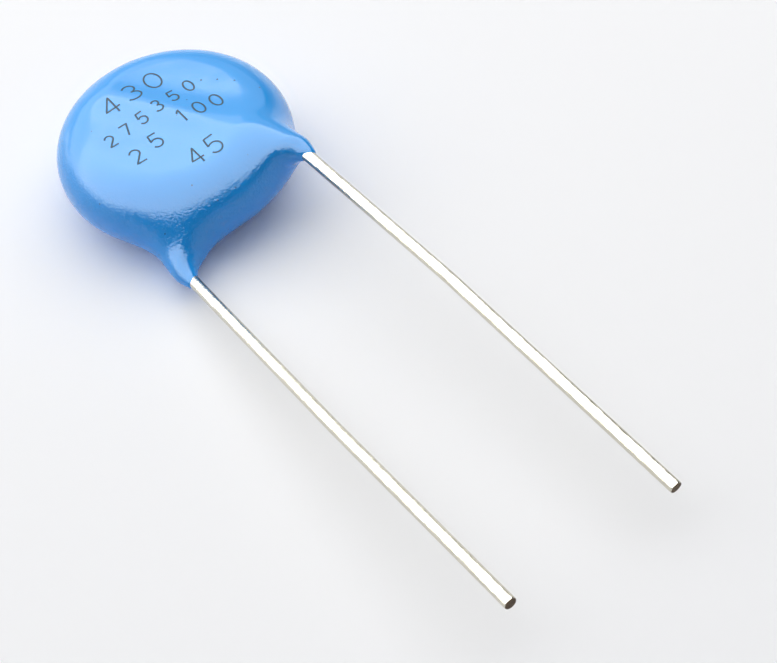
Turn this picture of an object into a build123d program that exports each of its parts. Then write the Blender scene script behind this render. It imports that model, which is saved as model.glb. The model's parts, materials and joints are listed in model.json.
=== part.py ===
from build123d import *
import os
from math import comb, radians
import numpy as np

# A radial-lead metal-oxide varistor of the 10 mm class: a zinc-oxide disc with a silver
# electrode on each face, a tinned wire soldered along each electrode, and a dipped epoxy
# coat over it all that climbs down the wires as two trumpet-shaped legs.
# Millimetres. The disc lies flat: Z is the disc's axis, X runs along the lead pitch and
# the leads leave toward -Y. Everything is worked out about the disc's centre, and moved
# at the end so that the whole stands on z = 0 with its box centred in X and Y. The back
# wire, its solder and its leg are the front ones turned half a turn about the Y axis.

# ---- ceramic and electrodes
CERAMIC_DIAMETER = 10.0
CERAMIC_THICKNESS = 2.1
CERAMIC_EDGE = 0.15           # chamfer of the pressed and fired disc
ELECTRODE_DIAMETER = 8.6
ELECTRODE_THICKNESS = 0.03    # fired silver paste

# ---- leads
WIRE_DIAMETER = 0.6
LEAD_PITCH = 7.5
TURN_DISTANCE = 6.0           # disc's centre to where a wire turns inward, along -Y
TURN_ANGLE = 30.0             # degrees that it turns there, toward the disc's middle
TURN_RADIUS = 2.2
DISC_RUN_LENGTH = 10.4        # of the wire from the turn to its inner end
LEAD_LENGTH = 30.8            # disc's centre to the cut ends, along -Y
BOW_RADIUS = 25.0             # of the slight bend halfway along each free lead
FRONT_BOW_WIDTH = 0.204       # how far that bend bows sideways
BACK_BOW_WIDTH = 0.093

# ---- solder
SOLDER_FILM = 0.05            # left between the wire and the silver
SOLDER_HEIGHT = 0.4
SOLDER_MARGIN = 0.45          # beside and beyond the wire
SOLDER_SLOPE = 35.0           # degrees that its sides lean in

# ---- epoxy coat
COAT_DIAMETER = 11.78
COAT_THICKNESS = 4.4          # over the flat faces, away from the wires
WIRE_COAT_THICKNESS = 0.12    # on the wire at its inner end, before the resin flows
LEG_TIP_THICKNESS = 0.04      # on the wire at a leg's end
FRONT_LEG_LENGTH = 6.4        # disc's centre to the leg's end, along -Y
BACK_LEG_LENGTH = 6.85
LEG_TAPER_LENGTH = 1.05       # over which a leg thins out to its end
LEG_FLOW_WIDTH = 5.0          # how widely the wet resin bridges rim and wire at the legs
FACE_FLOW_WIDTH = 1.8         # the same far in on the faces
FLOW_FADE_LENGTH = 6.0        # of wire over which one passes into the other

# ---- patches that make the coat's skin
DEGREE = 12                   # of each Bezier patch, along and across
WEB_SPREAD = 19.0             # degrees of rim that a leg's web takes to each side
WEB_NECK_RADIUS = 0.95
KITE_REACH = 0.66             # of a face's middle patches, as a share of its flat's radius
SETTLING_STEPS = 25

# ---- what differs from one lead to the other, in the front wire's sense of each axis
# drop: fall toward the middle plane per mm; splay: drift outward per mm
# bow: sideways bend of the free lead; bow_at: where it is, as a share of the free lead
# leg_end: disc's centre to the resin's end, along -Y
FRONT = dict(turned=False, drop=0.0662, splay=0.0331, bow=FRONT_BOW_WIDTH, bow_at=0.40,
             leg_end=FRONT_LEG_LENGTH)
BACK = dict(turned=True, drop=0.0703, splay=0.0176, bow=BACK_BOW_WIDTH, bow_at=0.50,
            leg_end=BACK_LEG_LENGTH)

WIRE_RADIUS = WIRE_DIAMETER / 2
ELECTRODE_FACE = CERAMIC_THICKNESS / 2 + ELECTRODE_THICKNESS
WIRE_LEVEL = ELECTRODE_FACE + SOLDER_FILM + WIRE_RADIUS
COAT_HALF = COAT_THICKNESS / 2
RIM_RING = COAT_DIAMETER / 2 - COAT_HALF       # the rim is a full round about this circle
HALF_TURN = np.array([-1.0, 1.0, -1.0])        # half a turn about Y, as a factor


# ---------------------------------------------------------------- wires
def unit(vector):
    return vector / np.linalg.norm(vector)


def wire_points(lead):
    """Corners of a wire in the front wire's sense: inner end, turn, bow, cut end."""
    turn = np.array([LEAD_PITCH / 2, -TURN_DISTANCE, WIRE_LEVEL])
    inward = np.array([-np.sin(radians(TURN_ANGLE)), np.cos(radians(TURN_ANGLE)), 0.0])
    inner = turn + DISC_RUN_LENGTH * inward
    free = LEAD_LENGTH - TURN_DISTANCE
    cut = turn + free * np.array([lead["splay"], -1.0, -lead["drop"]])
    bow = turn + lead["bow_at"] * (cut - turn) + np.array([lead["bow"], 0.0, 0.0])
    return inner, turn, bow, cut


def placed(shape, lead):
    """A shape worked out for the front, turned to the back where the lead is there."""
    return Rot(0, 180, 0) * shape if lead["turned"] else shape


def make_lead(lead):
    inner, turn, bow, cut = (tuple(point) for point in wire_points(lead))
    path = FilletPolyline(inner, turn, bow, cut, radius=[TURN_RADIUS, BOW_RADIUS])
    section = Plane(origin=path @ 0, z_dir=path % 0) * Circle(WIRE_RADIUS)
    return placed(sweep(section, path=path), lead)


def make_solder(lead, wire):
    """A loaf of solder along the wire, as high as the wire's middle and a little more."""
    inner, turn, _, _ = wire_points(lead)
    inward = unit(inner - turn)
    aside = inward[0] * turn[1] - inward[1] * turn[0]
    edge = np.sqrt((ELECTRODE_DIAMETER / 2) ** 2 - aside ** 2)
    start = turn + inward * (-np.dot(inward, turn) - edge + 2 * SOLDER_MARGIN)
    length = np.dot(inner - start, inward) + 2 * SOLDER_MARGIN
    middle = start + inward * (length / 2 - SOLDER_MARGIN)
    base = Plane(origin=(middle[0], middle[1], ELECTRODE_FACE), x_dir=tuple(inward),
                 z_dir=(0, 0, 1))
    outline = base * SlotOverall(length, WIRE_DIAMETER + 2 * SOLDER_MARGIN)
    return placed(extrude(outline, SOLDER_HEIGHT, taper=SOLDER_SLOPE), lead) - wire


# ---------------------------------------------------------------- ceramic and electrodes
def make_ceramic():
    disc = Cylinder(CERAMIC_DIAMETER / 2, CERAMIC_THICKNESS)
    return chamfer(disc.edges().filter_by(GeomType.CIRCLE), CERAMIC_EDGE)


def make_electrode(lead):
    foot = (Align.CENTER, Align.CENTER, Align.MIN)
    film = Cylinder(ELECTRODE_DIAMETER / 2, ELECTRODE_THICKNESS, align=foot)
    return placed(Pos(0, 0, CERAMIC_THICKNESS / 2) * film, lead)


# ---------------------------------------------------------------- the coat's skin
# The wet resin's surface is where a smooth field is nought: the distance to the rounded
# disc and the distances to the coated wires, run together as a liquid would bridge them.
def flow_together(one, other, reach, strength):
    closeness = np.maximum(1 - np.abs(one - other) / reach, 0.0)
    return np.minimum(one, other) - strength * closeness ** 3 * reach / 6


def leg_end(lead):
    """Where the resin ends on a wire, in the front wire's sense."""
    _, turn, bow, _ = wire_points(lead)
    return turn + (bow - turn) * (lead["leg_end"] - TURN_DISTANCE) / (turn[1] - bow[1])


def near_wire(points, lead):
    """Distance to the wire's middle line, and the place along it, inward from its turn."""
    inner, turn, bow, _ = wire_points(lead)
    inward, outward = unit(inner - turn), unit(bow - turn)
    half = np.arccos(np.dot(inward, -outward)) / 2
    tangent = TURN_RADIUS * np.tan(half)
    start, end = turn + tangent * outward, turn + tangent * inward
    centre = turn + unit(inward + outward) * TURN_RADIUS / np.cos(half)
    spoke = (start - centre) / TURN_RADIUS
    swing = np.arctan2((points - centre) @ -outward, (points - centre) @ spoke)
    swing = np.clip(swing, 0.0, 2 * half)[..., None]
    out = np.maximum((points - start) @ outward, 0.0)[..., None]
    along = np.clip((points - end) @ inward, 0.0, np.linalg.norm(inner - end))[..., None]
    nearest = [start + out * outward,
               centre + TURN_RADIUS * (np.cos(swing) * spoke - np.sin(swing) * outward),
               end + along * inward]
    places = [-out, TURN_RADIUS * swing, TURN_RADIUS * 2 * half + along]
    distances = np.stack([np.linalg.norm(points - spot, axis=-1) for spot in nearest])
    closest = np.argmin(distances, axis=0)
    place = np.choose(closest, [p[..., 0] for p in places])
    return np.min(distances, axis=0), place


def add_wire(field, points, lead):
    """Run a coated wire into the field; the resin bridges widest at the legs."""
    points = points * HALF_TURN if lead["turned"] else points
    _, turn, bow, _ = wire_points(lead)
    distance, place = near_wire(points, lead)
    coat = np.interp(place, [TURN_DISTANCE - lead["leg_end"], DISC_RUN_LENGTH],
                     [LEG_TIP_THICKNESS, WIRE_COAT_THICKNESS])
    fade = np.clip(place / FLOW_FADE_LENGTH, 0.0, 1.0)
    reach = LEG_FLOW_WIDTH + (FACE_FLOW_WIDTH - LEG_FLOW_WIDTH) * fade ** 2 * (3 - 2 * fade)
    taper = np.clip((leg_end(lead) - points) @ unit(bow - turn) / LEG_TAPER_LENGTH, 0.0, 1.0)
    return flow_together(field, distance - WIRE_RADIUS - coat, reach, taper * (2 - taper))


def skin_field(points):
    across = np.maximum(np.hypot(points[..., 0], points[..., 1]) - RIM_RING, 0.0)
    disc = np.hypot(across, points[..., 2]) - COAT_HALF
    return add_wire(add_wire(disc, points, FRONT), points, BACK)


def skin_slope(points):
    step = 1e-4
    offsets = np.eye(3) * step
    return np.stack([(skin_field(points + o) - skin_field(points - o)) / (2 * step)
                     for o in offsets], axis=-1)


def settle(points, keep=None):
    """Slide points straight onto the skin; keep is an axis each may not slide along."""
    way = skin_slope(points)
    if keep is not None:
        way = way - keep * np.sum(way * keep, axis=-1, keepdims=True)
    way = way / np.linalg.norm(way, axis=-1, keepdims=True)
    for _ in range(SETTLING_STEPS):
        rate = np.sum(skin_slope(points) * way, axis=-1)
        points = points - (skin_field(points) / rate)[..., None] * way
    return points


# ---------------------------------------------------------------- patches
NODES = (1 - np.cos(np.pi * np.arange(DEGREE + 1) / DEGREE)) / 2
U, V = (grid[..., None] for grid in np.meshgrid(NODES, NODES, indexing="ij"))
TO_CONTROL = np.linalg.inv([[comb(DEGREE, k) * t ** k * (1 - t) ** (DEGREE - k)
                             for k in range(DEGREE + 1)] for t in NODES])


def bezier_face(points):
    """The Bezier patch through a square grid of points at the nodes."""
    control = np.einsum("ia,jb,abc->ijc", TO_CONTROL, TO_CONTROL, points)
    return Face.make_bezier_surface([[tuple(p) for p in row] for row in control])


def bezier_edge(points):
    return Edge.make_bezier(*[tuple(p) for p in TO_CONTROL @ points])


def on_rim(angle, round_angle):
    """A point of the plain rim: angle about Z, and round_angle up from the middle plane."""
    out = RIM_RING + COAT_HALF * np.cos(np.radians(round_angle))
    angle = np.radians(angle)
    height = COAT_HALF * np.sin(np.radians(round_angle)) + 0 * angle
    return np.concatenate([out * np.cos(angle), out * np.sin(angle), height], axis=-1)


def leg_angle():
    half_pitch = LEAD_PITCH / 2
    return np.degrees(np.arctan2(-np.sqrt((COAT_DIAMETER / 2) ** 2 - half_pitch ** 2), half_pitch))


def column_angles():
    """Eight columns of patches round the disc; the front leg is in the second."""
    first, last = leg_angle() - WEB_SPREAD, leg_angle() + WEB_SPREAD
    right = [-90.0, first, last, (last + 90.0) / 2, 90.0]
    left = [180.0 - angle for angle in reversed(right[1:-1])]
    return right + left + [270.0]


def kite_points():
    """Corners and middles of the sides of the kite in the middle of a face, in turn."""
    turns = np.radians(column_angles()[:-1:2])
    corners = RIM_RING * KITE_REACH * np.stack([np.cos(turns), np.sin(turns), 0 * turns], axis=-1)
    middles = (corners + np.roll(corners, -1, axis=0)) / 2
    return np.stack([corners, middles], axis=1).reshape(-1, 3)


def face_patches(level):
    """A ring of patches from the rim to a kite, and the kite's own four."""
    height = np.array([0.0, 0.0, level * COAT_HALF])
    angles, kite = column_angles(), kite_points()
    for k in range(len(kite)):
        outer = on_rim(angles[k] + U * (angles[k + 1] - angles[k]), 90.0 * level)
        inner = kite[k] * (1 - U) + kite[(k + 1) % len(kite)] * U + height
        yield bezier_face(settle(outer * (1 - V) + inner * V))
    for k in range(0, len(kite), 2):
        near = kite[k] * (1 - U) + kite[k + 1] * U
        far = kite[k - 1] * (1 - U) + kite.mean(axis=0) * U
        yield bezier_face(settle(near * (1 - V) + far * V + height))


def rim_patches():
    """Two rows of patches round the rim, less the two cells that the legs grow out of."""
    angles = column_angles()
    columns = len(angles) - 1
    for k in range(columns):
        for low in (-90.0, 0.0):
            if (k, low) not in ((1, 0.0), (columns - 2, -90.0)):
                angle = angles[k] + U * (angles[k + 1] - angles[k])
                yield bezier_face(settle(on_rim(angle, low + V * 90.0)))


def leg_patches(lead):
    """A leg: four sides of a rim cell drawn in to the four quarters of the leg's end."""
    sense = HALF_TURN if lead["turned"] else np.ones(3)
    _, turn, bow, _ = wire_points(lead)
    along = unit(bow - turn)
    end = leg_end(lead)
    side = unit(np.array([1.0, 0.0, 0.0]) - along[0] * along)
    up = np.cross(along, side)
    first, last = column_angles()[1:3]
    cell = [(first, 0.0), (last, 0.0), (last, 90.0), (first, 90.0)]
    tip = WIRE_RADIUS + LEG_TIP_THICKNESS
    rim = []
    for k in range(4):
        (angle, level), (next_angle, next_level) = cell[k], cell[(k + 1) % 4]
        around = np.radians(225.0 + 90.0 * (k + U))
        spoke = np.cos(around) * side + np.sin(around) * up
        start = on_rim(angle + U * (next_angle - angle), level + U * (next_level - level))
        for low, high in ((0.0, 0.5), (0.5, 1.0)):
            v = low + V * (high - low)
            grid = (start * (1 - v) ** 2 + (turn + WEB_NECK_RADIUS * spoke) * 2 * v * (1 - v)
                    + (end + tip * spoke) * v ** 2)
            yield bezier_face(settle(grid * sense, along * sense * v ** 4))
        last_row = settle((end + tip * spoke[:, -1]) * sense, along * sense)
        rim.append(bezier_edge(last_row))
    yield Face(Wire(rim))


def make_skin():
    faces = [*face_patches(1), *face_patches(-1), *rim_patches(),
             *leg_patches(FRONT), *leg_patches(BACK)]
    return Solid(Shell(faces))


# ---------------------------------------------------------------- the whole
def build():
    leads = {"front_lead": make_lead(FRONT), "back_lead": make_lead(BACK)}
    pieces = {
        "ceramic_disc": make_ceramic(),
        "front_electrode": make_electrode(FRONT),
        "back_electrode": make_electrode(BACK),
        "front_solder": make_solder(FRONT, leads["front_lead"]),
        "back_solder": make_solder(BACK, leads["back_lead"]),
        **leads,
    }
    coat = make_skin()
    for piece in pieces.values():
        coat = coat - piece
    pieces["epoxy_coating"] = coat
    boxes = [piece.bounding_box() for piece in pieces.values()]
    low = [min(tuple(box.min)[axis] for box in boxes) for axis in range(3)]
    high = [max(tuple(box.max)[axis] for box in boxes) for axis in range(3)]
    place = Pos(-(low[0] + high[0]) / 2, -(low[1] + high[1]) / 2, -low[2])
    return {name: place * piece for name, piece in pieces.items()}


if __name__ == "__main__":
    os.makedirs("parts", exist_ok=True)
    for name, piece in build().items():
        export_step(piece, f"parts/{name}.step")
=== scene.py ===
import json
from math import ceil, cos, hypot, pi, radians, sin, tan
import bmesh
import bpy
import numpy as np
from mathutils import Matrix, Vector


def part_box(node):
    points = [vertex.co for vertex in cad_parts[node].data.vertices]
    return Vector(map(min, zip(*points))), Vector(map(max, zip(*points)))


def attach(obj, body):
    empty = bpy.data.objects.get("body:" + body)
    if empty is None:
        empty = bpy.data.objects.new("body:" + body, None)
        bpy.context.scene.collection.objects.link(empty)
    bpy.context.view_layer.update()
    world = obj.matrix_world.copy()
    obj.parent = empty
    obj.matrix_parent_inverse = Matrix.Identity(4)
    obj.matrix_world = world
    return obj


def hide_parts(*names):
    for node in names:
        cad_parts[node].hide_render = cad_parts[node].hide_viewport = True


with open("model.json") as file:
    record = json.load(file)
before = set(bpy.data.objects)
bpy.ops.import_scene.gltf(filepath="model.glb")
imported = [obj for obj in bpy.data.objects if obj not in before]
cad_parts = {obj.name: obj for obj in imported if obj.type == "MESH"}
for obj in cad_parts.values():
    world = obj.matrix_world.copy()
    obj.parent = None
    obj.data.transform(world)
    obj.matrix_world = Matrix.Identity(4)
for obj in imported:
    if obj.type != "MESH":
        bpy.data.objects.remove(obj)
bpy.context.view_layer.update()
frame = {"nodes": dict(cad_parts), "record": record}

# ======================================================================= camera
# Looks down over the cut ends of the leads onto the printed face, about 90 mm away.
# It aims at a point of the disc's middle plane that is given from the disc's centre.
MM = 0.001
disc_low, disc_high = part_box("ceramic_disc")
DISC_MIDDLE = (disc_low + disc_high) / 2
CAMERA_AIM = Vector((0.68, -16.43, 0.0)) * MM
CAMERA_DISTANCE = 81.36 * MM
CAMERA_AZIMUTH, CAMERA_ELEVATION, CAMERA_ROLL = -29.9, 50.6, -9.6
SENSOR_WIDTH, FOCAL_LENGTH = 36.0, 84.93    # in mm, as Blender takes them

camera = bpy.data.objects.new("camera", bpy.data.cameras.new("camera"))
camera.data.sensor_width = SENSOR_WIDTH
camera.data.lens = FOCAL_LENGTH
camera.data.clip_start = 1 * MM
turned = (Matrix.Rotation(radians(CAMERA_AZIMUTH), 4, "Z")
          @ Matrix.Rotation(radians(90 - CAMERA_ELEVATION), 4, "X")
          @ Matrix.Rotation(radians(CAMERA_ROLL), 4, "Z"))
aim = DISC_MIDDLE + CAMERA_AIM
camera.matrix_world = Matrix.Translation(aim + turned @ Vector((0, 0, CAMERA_DISTANCE))) @ turned
bpy.context.scene.collection.objects.link(camera)
bpy.context.scene.camera = camera

# ======================================================================= white table
# A sheet of matt white card that the part lies on, much larger than the part, so that
# views from low down still see it.
CARD_SIZE = 3.0
CARD_GAP = 0.00002            # card to the part's lowest point, so that they don't cross


def linear(hex_colour):
    """An sRGB hex colour as linear red, green, blue and alpha."""
    parts = [int(hex_colour[i:i + 2], 16) / 255 for i in (1, 3, 5)]
    return [p / 12.92 if p <= 0.04045 else ((p + 0.055) / 1.055) ** 2.4 for p in parts] + [1.0]


def set_node(node, settings=(), links=()):
    """Gives a node its settings, and links its inputs to the sockets that feed them. Where
    inputs share a name, a number picks one: a Mix has its colours at 6 and 7, out at 2."""
    for name, value in dict(settings).items():
        if isinstance(name, int) or name in node.inputs:
            node.inputs[name].default_value = value
        else:
            setattr(node, name, value)
    for name, source in dict(links).items():
        node.id_data.links.new(source, node.inputs[name])
    return node


def add_node(owner, kind, settings=(), links=()):
    """Adds a node with its settings and links to a material, a lamp or the world."""
    return set_node(owner.node_tree.nodes.new(kind), settings, links)


def new_material(name):
    """A material with one Principled shader, and that shader's node."""
    material = bpy.data.materials.new(name)
    material.use_nodes = True
    return material, material.node_tree.nodes["Principled BSDF"]


# Matt white card, uncoated: near white, with a faint lift where it is seen or mirrored.
# What it throws back under the part is a cool blue, so that the shade there stays blue.
CARD_LIFT = 0.06
card, shader = new_material("matt_white_card")
rays = add_node(card, "ShaderNodeLightPath").outputs
direct = add_node(card, "ShaderNodeMath", {"operation": "MAXIMUM"},
                  {0: rays["Is Camera Ray"], 1: rays["Is Glossy Ray"]})
seen = add_node(card, "ShaderNodeMath", {"operation": "MAXIMUM"},
                {0: direct.outputs["Value"], 1: rays["Is Transmission Ray"]})
shown = add_node(card, "ShaderNodeMix",
                 {"data_type": "RGBA", 6: linear("#B4CCE8"), 7: linear("#F4F4F4")},
                 {0: seen.outputs["Value"]})
lift = add_node(card, "ShaderNodeMath", {"operation": "MULTIPLY", 1: CARD_LIFT},
                {0: seen.outputs["Value"]})
set_node(shader, {"Emission Color": linear("#F6F6F8"), "Roughness": 0.9,
                  "Specular IOR Level": 0.2},
         {"Base Color": shown.outputs[2], "Emission Strength": lift.outputs["Value"]})

bpy.ops.mesh.primitive_plane_add(size=CARD_SIZE, location=(0, 0, -CARD_GAP))
table = bpy.context.object
table.name = "table"
table.data.materials.append(card)

# ======================================================================= studio light
# A broad soft light overhead, which lights the surfaces but isn't mirrored. Below it white
# panels that are only mirrored, bright over the near side and dimmer over the far side. A
# reflector at the left and a backdrop, which do both, and a dim room.
# Panels: left, right, near and far edge as seen from the camera's side, height, radiance
# at the near and at the far edge, and the share of it at the left edge.
SOFT_LIGHTS = {"soft_light": (-0.85, 0.40, -0.05, 0.44, 0.30, 1.55, 1.55, 1.0)}
GLOSS_PANELS = {"key_panel": (-1.00, 0.27, 0.03, 0.222, 0.20, 4.8, 5.0, 1.3),
                "near_reflector": (-1.00, 0.27, -0.36, 0.03, 0.20, 5.2, 4.8, 1.3),
                "far_left_reflector": (-1.00, 0.02, 0.222, 0.65, 0.20, 2.8, 1.6, 2.0),
                "far_reflector": (0.02, 0.42, 0.222, 0.65, 0.20, 1.5, 1.1, 1.0)}
# Walls: turn from straight behind, left and right edge as seen from the disc, foot, head,
# radiance at the foot and at the head, and the share of it at the right edge.
WALLS = {"left_reflector": (90, -0.20, 0.55, 0.0, 0.073, 0.9, 1.2, 1.0),
         "backdrop": (0, -0.50, 0.45, 0.0, 0.10, 1.4, 2.0, 0.1)}
WALL_DISTANCE = 0.36
LIGHT_TURN = 7.6              # degrees from the camera's bearing to the lights'
ROOM_STRENGTH = 0.02, 0.36    # low down, and overhead
ROOM_RISE = 0.50, 0.75        # sine of the elevation where the one turns into the other

world = bpy.data.worlds.new("room")
world.use_nodes = True
upward = add_node(world, "ShaderNodeSeparateXYZ", links={
    "Vector": add_node(world, "ShaderNodeTexCoord").outputs["Generated"]})
rise = add_node(world, "ShaderNodeMapRange", {
    "interpolation_type": "SMOOTHSTEP", "From Min": ROOM_RISE[0], "From Max": ROOM_RISE[1],
    "To Min": ROOM_STRENGTH[0], "To Max": ROOM_STRENGTH[1]}, {"Value": upward.outputs["Z"]})
set_node(world.node_tree.nodes["Background"], {"Color": linear("#E6E8F0")},
         {"Strength": rise.outputs["Result"]})
bpy.context.scene.world = world


def soft_box(name, width, height, low, high, share, place):
    """An area light that shines along its own -Z. Low and high are its radiances at its
    -Y and its +Y edge, and share is what its -X edge has of them."""
    lamp = bpy.data.objects.new(name, bpy.data.lights.new(name, "AREA"))
    lamp.data.shape = "RECTANGLE"
    lamp.data.size, lamp.data.size_y = width, height
    lamp.data.energy = pi * width * height
    lamp.data.use_nodes = True
    across = add_node(lamp.data, "ShaderNodeSeparateXYZ", links={
        "Vector": add_node(lamp.data, "ShaderNodeNewGeometry").outputs["Parametric"]})
    grade = add_node(lamp.data, "ShaderNodeMapRange", {"To Min": low, "To Max": high},
                     {"Value": across.outputs["Y"]})
    along = add_node(lamp.data, "ShaderNodeMapRange", {"To Min": share, "To Max": 1.0},
                     {"Value": across.outputs["X"]})
    glow = add_node(lamp.data, "ShaderNodeMath", {"operation": "MULTIPLY"},
                    {0: grade.outputs["Result"], 1: along.outputs["Result"]})
    set_node(lamp.data.node_tree.nodes["Emission"], links={"Strength": glow.outputs["Value"]})
    lamp.matrix_world = place
    bpy.context.scene.collection.objects.link(lamp)
    return lamp


facing = (Matrix.Translation(DISC_MIDDLE)
          @ Matrix.Rotation(radians(CAMERA_AZIMUTH + LIGHT_TURN), 4, "Z"))
for name, panel in (SOFT_LIGHTS | GLOSS_PANELS).items():
    left, right, near, far, height, low, high, share = panel
    middle = (left + right) / 2, (near + far) / 2, height
    lamp = soft_box(name, right - left, far - near, low, high, share,
                    facing @ Matrix.Translation(middle))
    lamp.visible_diffuse = name in SOFT_LIGHTS
    lamp.visible_glossy = name in GLOSS_PANELS
for name, (turn, left, right, foot, head, low, high, share) in WALLS.items():
    middle = (left + right) / 2, WALL_DISTANCE, (foot + head) / 2
    soft_box(name, right - left, head - foot, low, high, share,
             facing @ Matrix.Rotation(radians(turn), 4, "Z") @ Matrix.Translation(middle)
             @ Matrix.Rotation(-pi / 2, 4, "X") @ Matrix.Rotation(pi, 4, "Z"))
bpy.context.scene.view_settings.view_transform = "Standard"

# ======================================================================= course of the wires
# Both leads are cut from one tinned wire: along the electrode, round a turn just outside
# the disc's rim, and straight on, with a slight bend part way. Their free ends are the
# record's two pins. All that follows is in millimetres from the disc's centre.
WIRE_RADIUS = 0.3
HALF_PITCH = 3.75
TURN_DISTANCE = 6.0           # disc's centre to where a wire turns inward, along -Y
TURN_ANGLE = 30.0
TURN_RADIUS = 2.2
WIRE_LEVEL = 1.43             # of the wires over the disc, above or below its middle
DISC_RUN_LENGTH = 10.4        # from the turn to the wire's inner end
BOW_RADIUS = 25.0             # of the slight bend in a free lead


def unit(vector):
    """A vector's direction, one long."""
    return vector / np.linalg.norm(vector)


pins = {pin["name"]: pin for pin in frame["record"]["mounts"]}


def wire_course(pin_name, side):
    """A wire's inner end, turn, slight bend and cut end; side is the sign of its X and Z."""
    pin = pins[pin_name]
    middle = (np.array(pin["pos_m"]) - np.array(DISC_MIDDLE)) / MM
    half = np.array(pin["axis"]) * pin["dims"]["length_mm"] / 2
    turn = np.array([side * HALF_PITCH, -TURN_DISTANCE, side * WIRE_LEVEL])
    inward = np.array([-side * sin(radians(TURN_ANGLE)), cos(radians(TURN_ANGLE)), 0.0])
    return turn + inward * DISC_RUN_LENGTH, turn, middle - half, middle + half


FRONT = wire_course("front_lead_end", 1)
BACK = wire_course("back_lead_end", -1)

# ======================================================================= epoxy coat
# Blue epoxy resin that the soldered disc was dipped in, leads down, and cured: a glossy
# pebble that bridges over each wire as a low ridge and runs down it as a tapering leg.
# Its surface is where a field is nought, made of distances to the disc and the wires.
COAT_RADIUS = 5.89
COAT_HALF = 2.2               # half its thickness over the flat faces
LEG_ENDS = 6.4, 6.85          # disc's centre to where the resin ends, front and back
LEG_SLANT = 0.2               # how much further it ends on the outer side of a wire
LEG_TAPER = 1.05              # over which a leg thins out to its end
LEG_RUN = 1.2                 # of a wire, outward from its turn, that resin can run down
LIP_DEPTHS = -0.3, 0.0, 0.12  # outside and inside the resin's end, and
LIP_CHANGES = -0.2, -0.04, 0.0    # what the coat's thickness changes by there
RAGGED_END, RAGGED_SIZE = 0.05, 0.5    # unevenness of that end, and the size of its bumps
LEG_FLOW, FACE_FLOW = 5.0, 1.8    # reach of the flow beside a wire, at the rim and inward
FLOW_FADE = 6.0               # along the wire, from the one to the other
TIP_COAT, INNER_COAT = 0.04, 0.12    # over the wire, at its leg's end and its inner end
WAVER, WAVER_SIZE = 0.004, 2.3    # unevenness of the cured surface, and its bumps' size
RESIN_BOX = (-6.2, -7.4, -2.8), (6.2, 6.2, 2.8)    # corners well round the coat
RESIN_STEP = 0.075            # spacing of the skin's mesh


def waver(points, scale):
    """Gentle unevenness between about -1 and 1, with bumps about scale apart."""
    x, y, z = (points[..., i] * 2 * pi / scale for i in range(3))
    return (np.sin(x + 1.3 * np.sin(0.7 * y + 1.1) + 0.4) * np.sin(y + 1.1 * np.sin(0.8 * z + 0.3))
            + np.sin(0.6 * z + 0.9 * x - 0.8 * y + 2.0)) / 2


def near_wire(points, course):
    """Distance to a wire's middle line, and the place along it, inward from its turn."""
    inner, turn, bend, _ = course
    inward, outward = unit(inner - turn), unit(bend - turn)
    half = np.arccos(np.dot(inward, -outward)) / 2
    start = turn + TURN_RADIUS * tan(half) * outward
    end = turn + TURN_RADIUS * tan(half) * inward
    centre = turn + unit(inward + outward) * TURN_RADIUS / cos(half)
    spoke = (start - centre) / TURN_RADIUS
    swing = np.arctan2((points - centre) @ -outward, (points - centre) @ spoke)
    swing = np.clip(swing, 0.0, 2 * half)[..., None]
    out = np.clip((points - start) @ outward, 0.0, LEG_RUN)[..., None]
    along = np.clip((points - end) @ inward, 0.0, np.linalg.norm(inner - end))[..., None]
    nearest = [start + out * outward,
               centre + TURN_RADIUS * (np.cos(swing) * spoke - np.sin(swing) * outward),
               end + along * inward]
    distance = np.min([np.linalg.norm(points - spot, axis=-1) for spot in nearest], axis=0)
    return distance, (points - end) @ inward + 2 * half * TURN_RADIUS


def add_wire(field, points, course, leg_end):
    """Runs a coated wire into the field with a cubic blend, as wet resin bridges them."""
    distance, place = near_wire(points, course)
    _, turn, bend, _ = course
    end = turn + (bend - turn) * (leg_end - TURN_DISTANCE) / (turn[1] - bend[1])
    outer = (points[..., 0] - end[0]) * np.sign(turn[0]) / WIRE_RADIUS
    within = (end - points) @ unit(bend - turn) + LEG_SLANT * np.tanh(outer)
    ragged = within + RAGGED_END * waver(points, RAGGED_SIZE)
    coat = np.interp(place, [TURN_DISTANCE - leg_end, DISC_RUN_LENGTH], [TIP_COAT, INNER_COAT])
    coat = coat + np.interp(ragged, LIP_DEPTHS, LIP_CHANGES)
    fade = np.clip(place / FLOW_FADE, 0.0, 1.0)
    reach = LEG_FLOW + (FACE_FLOW - LEG_FLOW) * fade ** 2 * (3 - 2 * fade)
    taper = np.clip(within / LEG_TAPER, 0.0, 1.0)
    other = distance - WIRE_RADIUS - coat
    closeness = np.maximum(1 - np.abs(field - other) / reach, 0.0)
    return np.minimum(field, other) - taper * (2 - taper) * closeness ** 3 * reach / 6


def resin_field(points):
    """Nought on the resin's surface, negative inside it."""
    ring = COAT_RADIUS - COAT_HALF
    across = np.maximum(np.hypot(points[..., 0], points[..., 1]) - ring, 0.0)
    field = np.hypot(across, points[..., 2]) - COAT_HALF
    for course, leg_end in zip((FRONT, BACK), LEG_ENDS):
        field = add_wire(field, points, course, leg_end)
    return field - WAVER * waver(points, WAVER_SIZE)


def resin_slope(points):
    """Which way and how steeply the field rises."""
    step = 2e-3
    ways = np.eye(3) * step
    return np.stack([(resin_field(points + way) - resin_field(points - way)) / (2 * step)
                     for way in ways], axis=-1)


def settle(points):
    """Moves points onto the resin's surface."""
    for _ in range(4):
        slope = resin_slope(points)
        points = points - (resin_field(points) / np.sum(slope ** 2, axis=-1))[..., None] * slope
    return points


def in_frame(mesh):
    """Takes a mesh from millimetres about the disc's centre to the frame's metres."""
    mesh.transform(Matrix.Translation(DISC_MIDDLE) @ Matrix.Scale(MM, 4))


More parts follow.
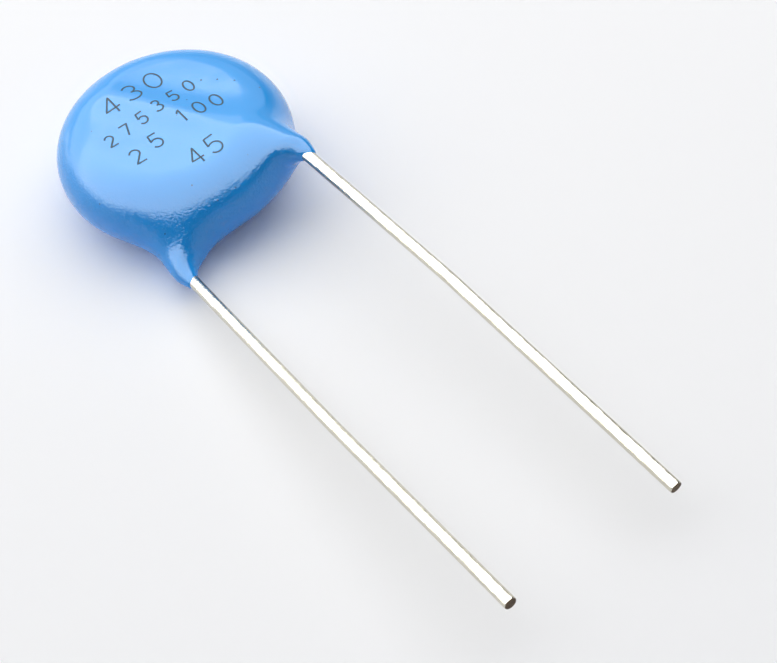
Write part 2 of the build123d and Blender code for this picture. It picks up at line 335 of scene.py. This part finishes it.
def add_piece(name, mesh, material):
    """Adds a piece that is fixed to the rest of the part, as all are."""
    piece = bpy.data.objects.new(name, mesh)
    bpy.context.scene.collection.objects.link(piece)
    mesh.materials.append(material)
    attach(piece, "root")
    return piece


def skin_of(field, low, high, step):
    """A mesh of quads where a field is nought: a point for each cell of a grid that it
    passes through, and a quad across each grid line that it cuts."""
    axes = [np.arange(a, b + step, step) for a, b in zip(low, high)]
    grid = np.stack(np.meshgrid(*axes, indexing="ij"), axis=-1)
    inside = field(grid) < 0
    blocks = [inside[i:len(axes[0]) - 1 + i, j:len(axes[1]) - 1 + j, k:len(axes[2]) - 1 + k]
              for i in (0, 1) for j in (0, 1) for k in (0, 1)]
    cut = np.any(blocks, axis=0) & ~np.all(blocks, axis=0)
    number = np.cumsum(cut).reshape(cut.shape) - 1
    quads = []
    for axis in range(3):
        ahead, beside = (axis + 1) % 3, (axis + 2) % 3
        first = np.moveaxis(inside, (axis, ahead, beside), (0, 1, 2))
        cells = np.moveaxis(number, (axis, ahead, beside), (0, 1, 2))
        leaving = first[:-1] & ~first[1:]
        entering = ~first[:-1] & first[1:]
        for which, turn in ((leaving, 1), (entering, -1)):
            i, j, k = np.nonzero(which[:, 1:-1, 1:-1])
            ring = [cells[i, j, k], cells[i, j + 1, k], cells[i, j + 1, k + 1], cells[i, j, k + 1]]
            quads.append(np.stack(ring[::turn], axis=-1))
    return grid[:-1, :-1, :-1][cut] + step / 2, np.concatenate(quads)


def even_out(points, quads):
    """Moves each point to the middle of its neighbours."""
    total, count = np.zeros_like(points), np.zeros(len(points))
    for turn in (1, 3):       # the corners before and after it round each quad
        np.add.at(total, quads, points[np.roll(quads, turn, axis=1)])
        np.add.at(count, quads, 1.0)
    return total / count[:, None]


skin_points, skin_quads = skin_of(resin_field, *RESIN_BOX, RESIN_STEP)
skin_points = settle(skin_points)
for _ in range(3):
    skin_points = settle(even_out(skin_points, skin_quads))
skin = bpy.data.meshes.new("epoxy_coat")
skin.from_pydata(skin_points.tolist(), [], skin_quads.tolist())
skin.polygons.foreach_set("use_smooth", [True] * len(skin.polygons))
skin_normals = resin_slope(skin_points)
skin_normals /= np.linalg.norm(skin_normals, axis=-1, keepdims=True)
skin.normals_split_custom_set_from_vertices(skin_normals.tolist())
in_frame(skin)

# Dipped epoxy, cured glossy: colour in the resin, in clouds that barely show, and a few
# dark specks of dust, under a hard clear skin. That has orange peel, and a finer one that
# comes in where the skin turns down the rim.
CLOUD_SIZE = 3.0
DUST_SPACING = 0.9
SPECK_EDGE = 0.03, 0.06       # of that spacing, where a speck starts to fade and ends
PEEL_SIZE, PEEL_DEPTH = 0.5, 0.05
FINE_PEEL_SIZE, FINE_PEEL_DEPTH = 0.13, 0.026
FINE_PEEL_TURN = 0.9, 0.6     # upward part of the normal where it starts and is full
resin, shader = new_material("dipped_blue_epoxy")
place = add_node(resin, "ShaderNodeTexCoord").outputs["Object"]
clouds = add_node(resin, "ShaderNodeTexNoise", {"Scale": 1 / (CLOUD_SIZE * MM), "Detail": 2.0},
                  {"Vector": place})
tint = add_node(resin, "ShaderNodeMix",
                {"data_type": "RGBA", 6: linear("#189EF3"), 7: linear("#20A6F7")},
                {0: clouds.outputs["Fac"]})
dust = add_node(resin, "ShaderNodeTexVoronoi", {"Scale": 1 / (DUST_SPACING * MM)},
                {"Vector": place})
speck = add_node(resin, "ShaderNodeMapRange",
                 {"From Min": SPECK_EDGE[0], "From Max": SPECK_EDGE[1],
                  "To Min": 0.7, "To Max": 0.0}, {"Value": dust.outputs["Distance"]})
specked = add_node(resin, "ShaderNodeMix", {"data_type": "RGBA", 7: linear("#173A66")},
                   {0: speck.outputs["Result"], 6: tint.outputs[2]})
normal = add_node(resin, "ShaderNodeSeparateXYZ", links={
    "Vector": add_node(resin, "ShaderNodeNewGeometry").outputs["Normal"]})
steep = add_node(resin, "ShaderNodeMapRange",
                 {"From Min": FINE_PEEL_TURN[0], "From Max": FINE_PEEL_TURN[1],
                  "To Min": 0.0, "To Max": 1.0}, {"Value": normal.outputs["Z"]})
fine_peel = add_node(resin, "ShaderNodeTexNoise",
                     {"Scale": 1 / (FINE_PEEL_SIZE * MM), "Detail": 2.0}, {"Vector": place})
fine_bump = add_node(resin, "ShaderNodeBump", {"Distance": FINE_PEEL_DEPTH * MM},
                     {"Height": fine_peel.outputs["Fac"], "Strength": steep.outputs["Result"]})
peel = add_node(resin, "ShaderNodeTexNoise", {"Scale": 1 / (PEEL_SIZE * MM), "Detail": 3.0},
                {"Vector": place})
bump = add_node(resin, "ShaderNodeBump", {"Strength": 0.06, "Distance": PEEL_DEPTH * MM},
                {"Height": peel.outputs["Fac"], "Normal": fine_bump.outputs["Normal"]})
set_node(shader, {"Roughness": 0.16, "IOR": 1.5, "Coat Weight": 0.15, "Coat Roughness": 0.05},
         {"Base Color": specked.outputs[2], "Normal": bump.outputs["Normal"],
          "Coat Normal": bump.outputs["Normal"]})

coat = add_piece("epoxy_coat", skin, resin)
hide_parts("epoxy_coating")

# ======================================================================= leads
# Tinned copper-clad wire, drawn round, dipped in tin and cropped by a cutter that pulls
# the tin a little over the edge of the dark core.
WIRE_SIDES = 36
WIRE_STEP = 0.22              # from one ring of the mesh to the next, along the wire
CUT_EDGE = 0.05               # length over which the cutter rounded the end
CUT_RINGS = (1.0, 1.0), (0.3, 0.93), (0.0, 0.8)    # shares of that length and the radius


def centre_line(course):
    """Points along a wire from its inner end to its cut, with its two turns rounded."""
    inner, turn, bend, cut = course
    corners = [(turn, TURN_RADIUS), (bend, BOW_RADIUS)]
    points, last = [], inner
    for (corner, radius), after in zip(corners, (bend, cut)):
        back, ahead = unit(last - corner), unit(after - corner)
        half = np.arccos(np.clip(np.dot(-back, ahead), -1, 1)) / 2
        start = corner + back * radius * tan(half)
        centre = corner + unit(back + ahead) * radius / cos(half)
        steps = max(2, ceil(np.linalg.norm(start - last) / WIRE_STEP))
        points += [last + (start - last) * i / steps for i in range(steps)]
        spoke = start - centre
        steps = max(4, ceil(2 * half * radius / WIRE_STEP))
        sweeps = [2 * half * i / steps for i in range(steps)]
        points += [centre + spoke * cos(a) - back * radius * sin(a) for a in sweeps]
        last = corner + ahead * radius * tan(half)
    steps = ceil(np.linalg.norm(cut - last) / WIRE_STEP)
    return np.array(points + [last + (cut - last) * i / steps for i in range(steps + 1)])


def wire_mesh(name, course):
    """A tube along the wire; its second material slot is the core, at the cut."""
    line = centre_line(course)
    ways = np.gradient(line, axis=0)
    ways /= np.linalg.norm(ways, axis=-1, keepdims=True)
    mesh = bmesh.new()
    rings = []
    spots = [(p, w, 1.0) for p, w in zip(line[:-1], ways[:-1])]
    spots += [(line[-1] - ways[-1] * CUT_EDGE * back, ways[-1], share)
              for back, share in CUT_RINGS]
    up = np.array([0.0, 0.0, 1.0])
    for spot, way, share in spots:
        side = unit(np.cross(up, way))
        top = np.cross(way, side)
        angles = np.arange(WIRE_SIDES) * 2 * pi / WIRE_SIDES
        round_ring = spot + WIRE_RADIUS * share * (np.cos(angles)[:, None] * side
                                                  + np.sin(angles)[:, None] * top)
        rings.append([mesh.verts.new(p) for p in round_ring])
    for one, two in zip(rings, rings[1:]):
        for i in range(WIRE_SIDES):
            j = (i + 1) % WIRE_SIDES
            face = mesh.faces.new((one[i], one[j], two[j], two[i]))
            face.smooth = True
            face.material_index = int(two is rings[-1])
    mesh.faces.new(rings[0][::-1])
    mesh.faces.new(rings[-1]).material_index = 1
    bmesh.ops.recalc_face_normals(mesh, faces=mesh.faces[:])
    data = bpy.data.meshes.new(name)
    mesh.to_mesh(data)
    in_frame(data)
    return data


# Hot-dipped tin, a little dulled: faintly warm, with soft lumps drawn out along the wire.
LUMP_SIZE, LUMP_DEPTH = 0.3, 0.07
LUMP_STRETCH = 2              # how much longer than wide a lump is
tin, shader = new_material("hot_dipped_tin")
place = add_node(tin, "ShaderNodeTexCoord").outputs["Object"]
drawn = add_node(tin, "ShaderNodeMapping", {"Scale": (1.0, 1 / LUMP_STRETCH, 1.0)},
                 {"Vector": place})
lumps = add_node(tin, "ShaderNodeTexNoise", {"Scale": 1 / (LUMP_SIZE * MM), "Detail": 3.0},
                 {"Vector": drawn.outputs["Vector"]})
bump = add_node(tin, "ShaderNodeBump", {"Strength": 0.6, "Distance": LUMP_DEPTH * MM},
                {"Height": lumps.outputs["Fac"]})
set_node(shader, {"Base Color": linear("#CCC8BA"), "Metallic": 1.0, "Roughness": 0.24},
         {"Normal": bump.outputs["Normal"]})

# Cropped copper-clad core: browned and matt, with grain from the shear, drawn coarser than
# it is so that it shows.
SHEAR_GRAIN = 0.12
core, shader = new_material("cropped_copper_core")
place = add_node(core, "ShaderNodeTexCoord").outputs["Object"]
grain = add_node(core, "ShaderNodeTexNoise", {"Scale": 1 / (SHEAR_GRAIN * MM), "Detail": 3.0},
                 {"Vector": place})
tone = add_node(core, "ShaderNodeMix",
                {"data_type": "RGBA", 6: linear("#221C2A"), 7: linear("#6E5836")},
                {0: grain.outputs["Fac"]})
set_node(shader, {"Metallic": 0.6, "Roughness": 0.6}, {"Base Color": tone.outputs[2]})

for name, course in (("front_lead", FRONT), ("back_lead", BACK)):
    wire = add_piece(name + "_wire", wire_mesh(name + "_wire", course), tin)
    wire.data.materials.append(core)
    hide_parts(name)

# ======================================================================= printed numbers
# Plain rating numbers in dark ink, drawn in one thin stroke each, as a marking machine
# leaves them, and a few spots of ink after the second row.
STROKE = 0.095                # width of the ink line
INK_LIFT = 0.004              # thickness of the ink on the resin
INK_STEP = 0.06               # along a stroke, from one point of its mesh to the next
INK_START = 0.1               # above the flat face, from where a stroke sinks onto it
ARC_STEP = 12                 # degrees from one point of a digit's curve to the next
DIGIT_WIDTH = 0.6
SPOT_SIZE, SPOT_RISE = 0.08, 0.01    # length and width of a spot, and how far it slants


def arc(x, y, rx, ry, start, end):
    """Points round an ellipse, in degrees."""
    steps = max(4, int(abs(end - start) / ARC_STEP))
    turns = [radians(start + (end - start) * i / steps) for i in range(steps + 1)]
    return [(x + rx * cos(t), y + ry * sin(t)) for t in turns]


# Strokes of each digit, in a box one high and DIGIT_WIDTH wide with its corner at nought.
DIGITS = {
    "0": [arc(0.3, 0.5, 0.3, 0.5, 90, 450)],
    "1": [[(0.12, 0.78), (0.32, 1.0), (0.32, 0.0)]],
    "2": [arc(0.3, 0.72, 0.28, 0.28, 160, -30) + [(0.02, 0.0), (0.6, 0.0)]],
    "3": [arc(0.28, 0.76, 0.24, 0.24, 150, -90) + arc(0.28, 0.26, 0.3, 0.26, 90, -150)],
    "4": [[(0.42, 0.0), (0.42, 1.0), (0.0, 0.3), (0.6, 0.3)]],
    "5": [[(0.56, 1.0), (0.1, 1.0), (0.04, 0.55)] + arc(0.27, 0.31, 0.31, 0.31, 130, -150)],
    "7": [[(0.0, 1.0), (0.58, 1.0), (0.2, 0.0)]],
}
# Rows: digits, middle of the first, step from one to the next, height, width stretch.
ROWS = [("430", (-1.80, 2.30), (1.27, 0.09), 1.15, 1.15),
        ("275350", (-3.05, 0.33), (0.98, 0.12), 0.78, 0.95),
        ("25", (-2.65, -1.42), (1.25, 0.28), 0.95, 0.95),
        ("100", (0.42, -0.72), (0.93, -0.08), 0.90, 0.95),
        ("45", (-0.55, -3.35), (1.05, 0.03), 1.15, 0.95)]
SPOTS = [(2.53, 0.82), (3.15, 0.30), (3.73, -0.36)]    # after the second row


def lay_strip(mesh, points, width):
    """A flat strip of ink along points given in X and Y, laid on the resin's face."""
    fine_line = []
    for a, b in zip(points, points[1:]):
        steps = max(1, ceil(hypot(b[0] - a[0], b[1] - a[1]) / INK_STEP))
        fine_line += [(a[0] + (b[0] - a[0]) * i / steps, a[1] + (b[1] - a[1]) * i / steps)
                      for i in range(steps)]
    fine_line.append(points[-1])
    line = np.array(fine_line)
    ways = np.gradient(line, axis=0)
    ways /= np.maximum(np.linalg.norm(ways, axis=-1, keepdims=True), 1e-9)
    across = np.stack([-ways[:, 1], ways[:, 0]], axis=-1)
    rows = []
    for share in (-0.5, 0.0, 0.5):
        flat = line + across * width * share
        raised = np.concatenate([flat, np.full((len(flat), 1), COAT_HALF + INK_START)], axis=-1)
        on_skin = settle(raised)
        normal = resin_slope(on_skin)
        normal /= np.linalg.norm(normal, axis=-1, keepdims=True)
        rows.append([mesh.verts.new(p) for p in on_skin + normal * INK_LIFT])
    for one, two in zip(rows, rows[1:]):
        for i in range(len(line) - 1):
            mesh.faces.new((one[i], one[i + 1], two[i + 1], two[i])).smooth = True


print_mesh = bmesh.new()
for text, first, step, height, stretch in ROWS:
    for count, digit in enumerate(text):
        middle = np.array(first) + count * np.array(step)
        for stroke in DIGITS[digit]:
            placed = [(middle[0] + (x - DIGIT_WIDTH / 2) * height * stretch,
                       middle[1] + (y - 0.5) * height) for x, y in stroke]
            lay_strip(print_mesh, placed, STROKE)
for x, y in SPOTS:
    ends = [(x - SPOT_SIZE / 2, y), (x + SPOT_SIZE / 2, y + SPOT_RISE)]
    lay_strip(print_mesh, ends, SPOT_SIZE)
bmesh.ops.recalc_face_normals(print_mesh, faces=print_mesh.faces[:])
print_data = bpy.data.meshes.new("printed_numbers")
print_mesh.to_mesh(print_data)
in_frame(print_data)

# Marking ink: a thin, matt dark teal that is paler in clouds, where it lies thinner.
INK_CLOUD = 0.25
ink, shader = new_material("marking_ink")
place = add_node(ink, "ShaderNodeTexCoord").outputs["Object"]
thin = add_node(ink, "ShaderNodeTexNoise", {"Scale": 1 / (INK_CLOUD * MM), "Detail": 2.0},
                {"Vector": place})
tone = add_node(ink, "ShaderNodeMix",
                {"data_type": "RGBA", 6: linear("#0A3240"), 7: linear("#185066")},
                {0: thin.outputs["Fac"]})
set_node(shader, {"Roughness": 0.4, "Specular IOR Level": 0.25},
         {"Base Color": tone.outputs[2]})

numbers = add_piece("printed_numbers", print_data, ink)

# ======================================================================= inside the coat
# What the resin seals in: a disc of pressed and fired zinc oxide, a film of silver paste
# fired onto each face, and the tin solder that holds a wire to each film. These are the
# frame's own solids, with their finishes.

# Fired zinc oxide: dark and matt, its grains drawn far coarser than they are, to show.
OXIDE_GRAIN = 0.2
ceramic, shader = new_material("fired_zinc_oxide")
place = add_node(ceramic, "ShaderNodeTexCoord").outputs["Object"]
grains = add_node(ceramic, "ShaderNodeTexNoise",
                  {"Scale": 1 / (OXIDE_GRAIN * MM), "Detail": 4.0}, {"Vector": place})
tone = add_node(ceramic, "ShaderNodeMix",
                {"data_type": "RGBA", 6: linear("#2C3330"), 7: linear("#414A45")},
                {0: grains.outputs["Fac"]})
set_node(shader, {"Roughness": 0.75}, {"Base Color": tone.outputs[2]})

# Fired silver paste: pale and satin, with a faint unevenness left by the printing screen.
SCREEN_SIZE, SCREEN_DEPTH = 0.3, 0.01
silver, shader = new_material("fired_silver_paste")
place = add_node(silver, "ShaderNodeTexCoord").outputs["Object"]
screen = add_node(silver, "ShaderNodeTexNoise",
                  {"Scale": 1 / (SCREEN_SIZE * MM), "Detail": 3.0}, {"Vector": place})
bump = add_node(silver, "ShaderNodeBump", {"Strength": 0.3, "Distance": SCREEN_DEPTH * MM},
                {"Height": screen.outputs["Fac"]})
set_node(shader, {"Base Color": linear("#D9D6CE"), "Metallic": 1.0, "Roughness": 0.5},
         {"Normal": bump.outputs["Normal"]})

# Tin solder: a grey shine, a little crusted as it set.
CRUST_SIZE, CRUST_DEPTH = 0.6, 0.03
solder, shader = new_material("tin_solder")
place = add_node(solder, "ShaderNodeTexCoord").outputs["Object"]
crust = add_node(solder, "ShaderNodeTexNoise",
                 {"Scale": 1 / (CRUST_SIZE * MM), "Detail": 3.0}, {"Vector": place})
bump = add_node(solder, "ShaderNodeBump", {"Strength": 0.4, "Distance": CRUST_DEPTH * MM},
                {"Height": crust.outputs["Fac"]})
set_node(shader, {"Base Color": linear("#BFC0C2"), "Metallic": 1.0, "Roughness": 0.35},
         {"Normal": bump.outputs["Normal"]})

SEALED_IN = {"ceramic_disc": ceramic, "front_electrode": silver, "back_electrode": silver,
             "front_solder": solder, "back_solder": solder}
for node, material in SEALED_IN.items():
    frame["nodes"][node].material_slots[0].material = material
